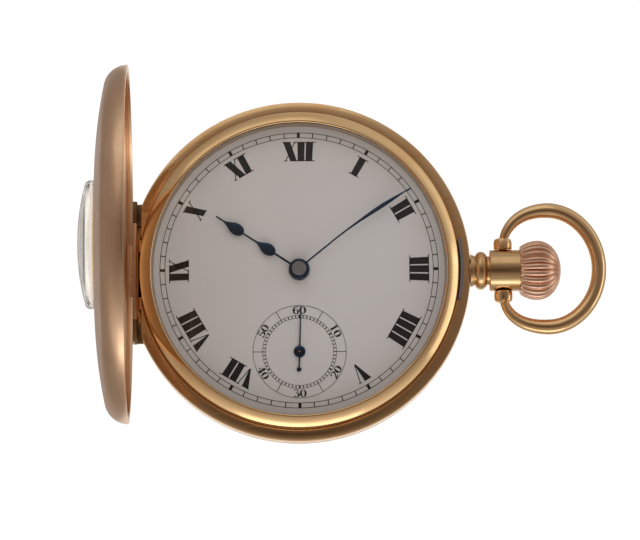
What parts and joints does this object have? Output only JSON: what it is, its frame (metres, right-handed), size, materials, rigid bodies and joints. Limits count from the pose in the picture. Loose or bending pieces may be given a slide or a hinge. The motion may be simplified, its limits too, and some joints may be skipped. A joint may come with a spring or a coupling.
{
  "type": "half hunter pocket watch",
  "caption": "Round pocket watch with an open windowed front lid, enamel dial, fluted crown, swivel bow, hinged back and a hand-wound lever movement",
  "frame": {"origin": "middle of the flat on the back cover, where the watch rests", "axes": "+Z out of the dial, +Y to twelve o'clock, +X along the winding stem to the crown"},
  "size_m": [0.0762, 0.05, 0.0574],
  "materials": {
    "gold": "polished yellow gold, here as brass",
    "rose_gold": "polished rose gold, here as brass",
    "gilt_brass": "gilt and grained",
    "steel": "polished steel",
    "blued_steel": "fire-blued steel",
    "ruby": "polished synthetic ruby",
    "glass": "clear mineral glass",
    "enamel": "white fired enamel"
  },
  "bodies": {
    "case": {"case_middle": "gold", "pendant": "gold", "front_hinge_pin": "gold", "back_hinge_pin": "gold", "glass_bezel": "gold", "crystal": "glass", "main_plate": "gilt_brass", "barrel_bridge": "gilt_brass", "train_bridge": "gilt_brass", "bridge_screws": "blued_steel", "jewels": "ruby", "crown_wheel_seat": "steel", "pallet_cock": "gilt_brass", "balance_cock": "gilt_brass", "cock_screw": "blued_steel", "hairspring": "blued_steel", "regulator": "steel", "motion_studs": "steel", "dial": "enamel"},
    "lid": {"front_lid": "gold", "lid_window_ring": "gold", "lid_window_glass": "glass"},
    "back": {"back_cover": "gold"},
    "dust": {"dust_cover": "gold"},
    "bow": {"bow": "gold"},
    "crown": {"crown": "rose_gold", "case_stem": "steel"},
    "stem": {"winding_stem": "steel"},
    "winder": {"winding_pinion": "steel"},
    "clutch": {"clutch_wheel": "steel"},
    "catch": {"lock_spring": "steel"},
    "arbor": {"barrel_arbor": "steel", "ratchet_wheel": "steel", "ratchet_screw": "blued_steel"},
    "crown_wheel": {"crown_wheel": "steel"},
    "click": {"click": "steel"},
    "barrel": {"barrel_drum": "gilt_brass", "barrel_cover": "gilt_brass", "mainspring": "steel"},
    "centre": {"centre_wheel": "gilt_brass", "cannon_pinion": "steel", "minute_hand": "blued_steel"},
    "third": {"third_wheel": "gilt_brass"},
    "fourth": {"fourth_wheel": "gilt_brass", "seconds_hand": "blued_steel"},
    "escape": {"escape_wheel": "steel"},
    "pallets": {"pallet_fork": "steel"},
    "balance": {"balance_wheel": "gilt_brass"},
    "minute": {"minute_wheel": "gilt_brass"},
    "hour": {"hour_wheel": "gilt_brass", "hour_hand": "blued_steel"},
    "setting": {"setting_wheel": "steel"}
  },
  "joints": [
    {"name": "lid_turn", "type": "hinge", "parent": "case", "child": "lid", "pos_m": [-0.024, 0, 0.0084], "axis": [0, 1, 0], "range_deg": [0, 88.5], "stiffness_Nm_per_rad": 0.002, "springref_deg": -34.38},
    {"name": "back_turn", "type": "hinge", "parent": "case", "child": "back", "pos_m": [-0.024, 0, 0.0054], "axis": [0, 1, 0], "range_deg": [0, 90]},
    {"name": "dust_turn", "type": "hinge", "parent": "case", "child": "dust", "pos_m": [-0.024, 0, 0.0054], "axis": [0, 1, 0], "range_deg": [0, 81]},
    {"name": "bow_turn", "type": "hinge", "parent": "case", "child": "bow", "pos_m": [0.0298, 0, 0.0068], "axis": [0, 1, 0], "range_deg": [-85, 85]},
    {"name": "arbor_turn", "type": "hinge", "parent": "case", "child": "arbor", "pos_m": [0.00356, 0.00977, 0], "axis": [0, 0, 1], "continuous": true},
    {"name": "crown_wheel_turn", "type": "hinge", "parent": "case", "child": "crown_wheel", "pos_m": [0.0112, 0, 0], "axis": [0, 0, 1], "continuous": true},
    {"name": "winder_turn", "type": "hinge", "parent": "case", "child": "winder", "pos_m": [0.01355, 0, 0.0068], "axis": [1, 0, 0], "continuous": true},
    {"name": "stem_slide", "type": "slide", "parent": "winder", "child": "stem", "axis": [1, 0, 0], "range_m": [0, 0.0009]},
    {"name": "crown_slide", "type": "slide", "parent": "stem", "child": "crown", "axis": [1, 0, 0], "range_m": [-0.0006, 0], "stiffness_N_per_m": 300},
    {"name": "clutch_slide", "type": "slide", "parent": "winder", "child": "clutch", "axis": [1, 0, 0], "range_m": [-0.00072, 0]},
    {"name": "catch_slide", "type": "slide", "parent": "case", "child": "catch", "axis": [1, 0, 0], "range_m": [-0.0002, 0]},
    {"name": "click_turn", "type": "hinge", "parent": "case", "child": "click", "pos_m": [-0.0059, 0.0081, 0], "axis": [0, 0, 1], "range_deg": [0, 8]},
    {"name": "centre_turn", "type": "hinge", "parent": "case", "child": "centre", "pos_m": [0, 0, 0], "axis": [0, 0, 1], "continuous": true},
    {"name": "barrel_turn", "type": "hinge", "parent": "case", "child": "barrel", "pos_m": [0.00356, 0.00977, 0], "axis": [0, 0, 1], "continuous": true},
    {"name": "third_turn", "type": "hinge", "parent": "case", "child": "third", "pos_m": [0.00443, -0.00678, 0], "axis": [0, 0, 1], "continuous": true},
    {"name": "fourth_turn", "type": "hinge", "parent": "case", "child": "fourth", "pos_m": [0, -0.01205, 0], "axis": [0, 0, 1], "continuous": true},
    {"name": "escape_turn", "type": "hinge", "parent": "case", "child": "escape", "pos_m": [-0.00558, -0.01002, 0], "axis": [0, 0, 1], "continuous": true},
    {"name": "minute_turn", "type": "hinge", "parent": "case", "child": "minute", "pos_m": [0.004, 0, 0], "axis": [0, 0, 1], "continuous": true},
    {"name": "hour_turn", "type": "hinge", "parent": "case", "child": "hour", "pos_m": [0, 0, 0], "axis": [0, 0, 1], "continuous": true},
    {"name": "setting_turn", "type": "hinge", "parent": "case", "child": "setting", "pos_m": [0.0082, 0, 0], "axis": [0, 0, 1], "continuous": true},
    {"name": "pallets_turn", "type": "hinge", "parent": "case", "child": "pallets", "pos_m": [-0.00909, -0.00739, 0], "axis": [0, 0, 1], "range_deg": [-5, 5]},
    {"name": "balance_turn", "type": "hinge", "parent": "case", "child": "balance", "pos_m": [-0.01277, -0.00463, 0], "axis": [0, 0, 1], "range_deg": [-220, 220], "stiffness_Nm_per_rad": 0.000007}
  ],
  "couplings": [
    {"joint": "dust_turn", "follows": "back_turn", "ratio": 0.9},
    {"joint": "crown_wheel_turn", "follows": "arbor_turn", "ratio": -1.6667},
    {"joint": "winder_turn", "follows": "arbor_turn", "ratio": -4},
    {"joint": "clutch_slide", "follows": "stem_slide", "ratio": -0.8},
    {"joint": "catch_slide", "follows": "crown_slide", "ratio": 0.33333},
    {"joint": "barrel_turn", "follows": "centre_turn", "ratio": -0.16667},
    {"joint": "third_turn", "follows": "centre_turn", "ratio": -8},
    {"joint": "fourth_turn", "follows": "centre_turn", "ratio": 60},
    {"joint": "escape_turn", "follows": "centre_turn", "ratio": -480},
    {"joint": "minute_turn", "follows": "centre_turn", "ratio": -0.33333},
    {"joint": "hour_turn", "follows": "centre_turn", "ratio": 0.083333},
    {"joint": "setting_turn", "follows": "centre_turn", "ratio": 0.83333}
  ]
}
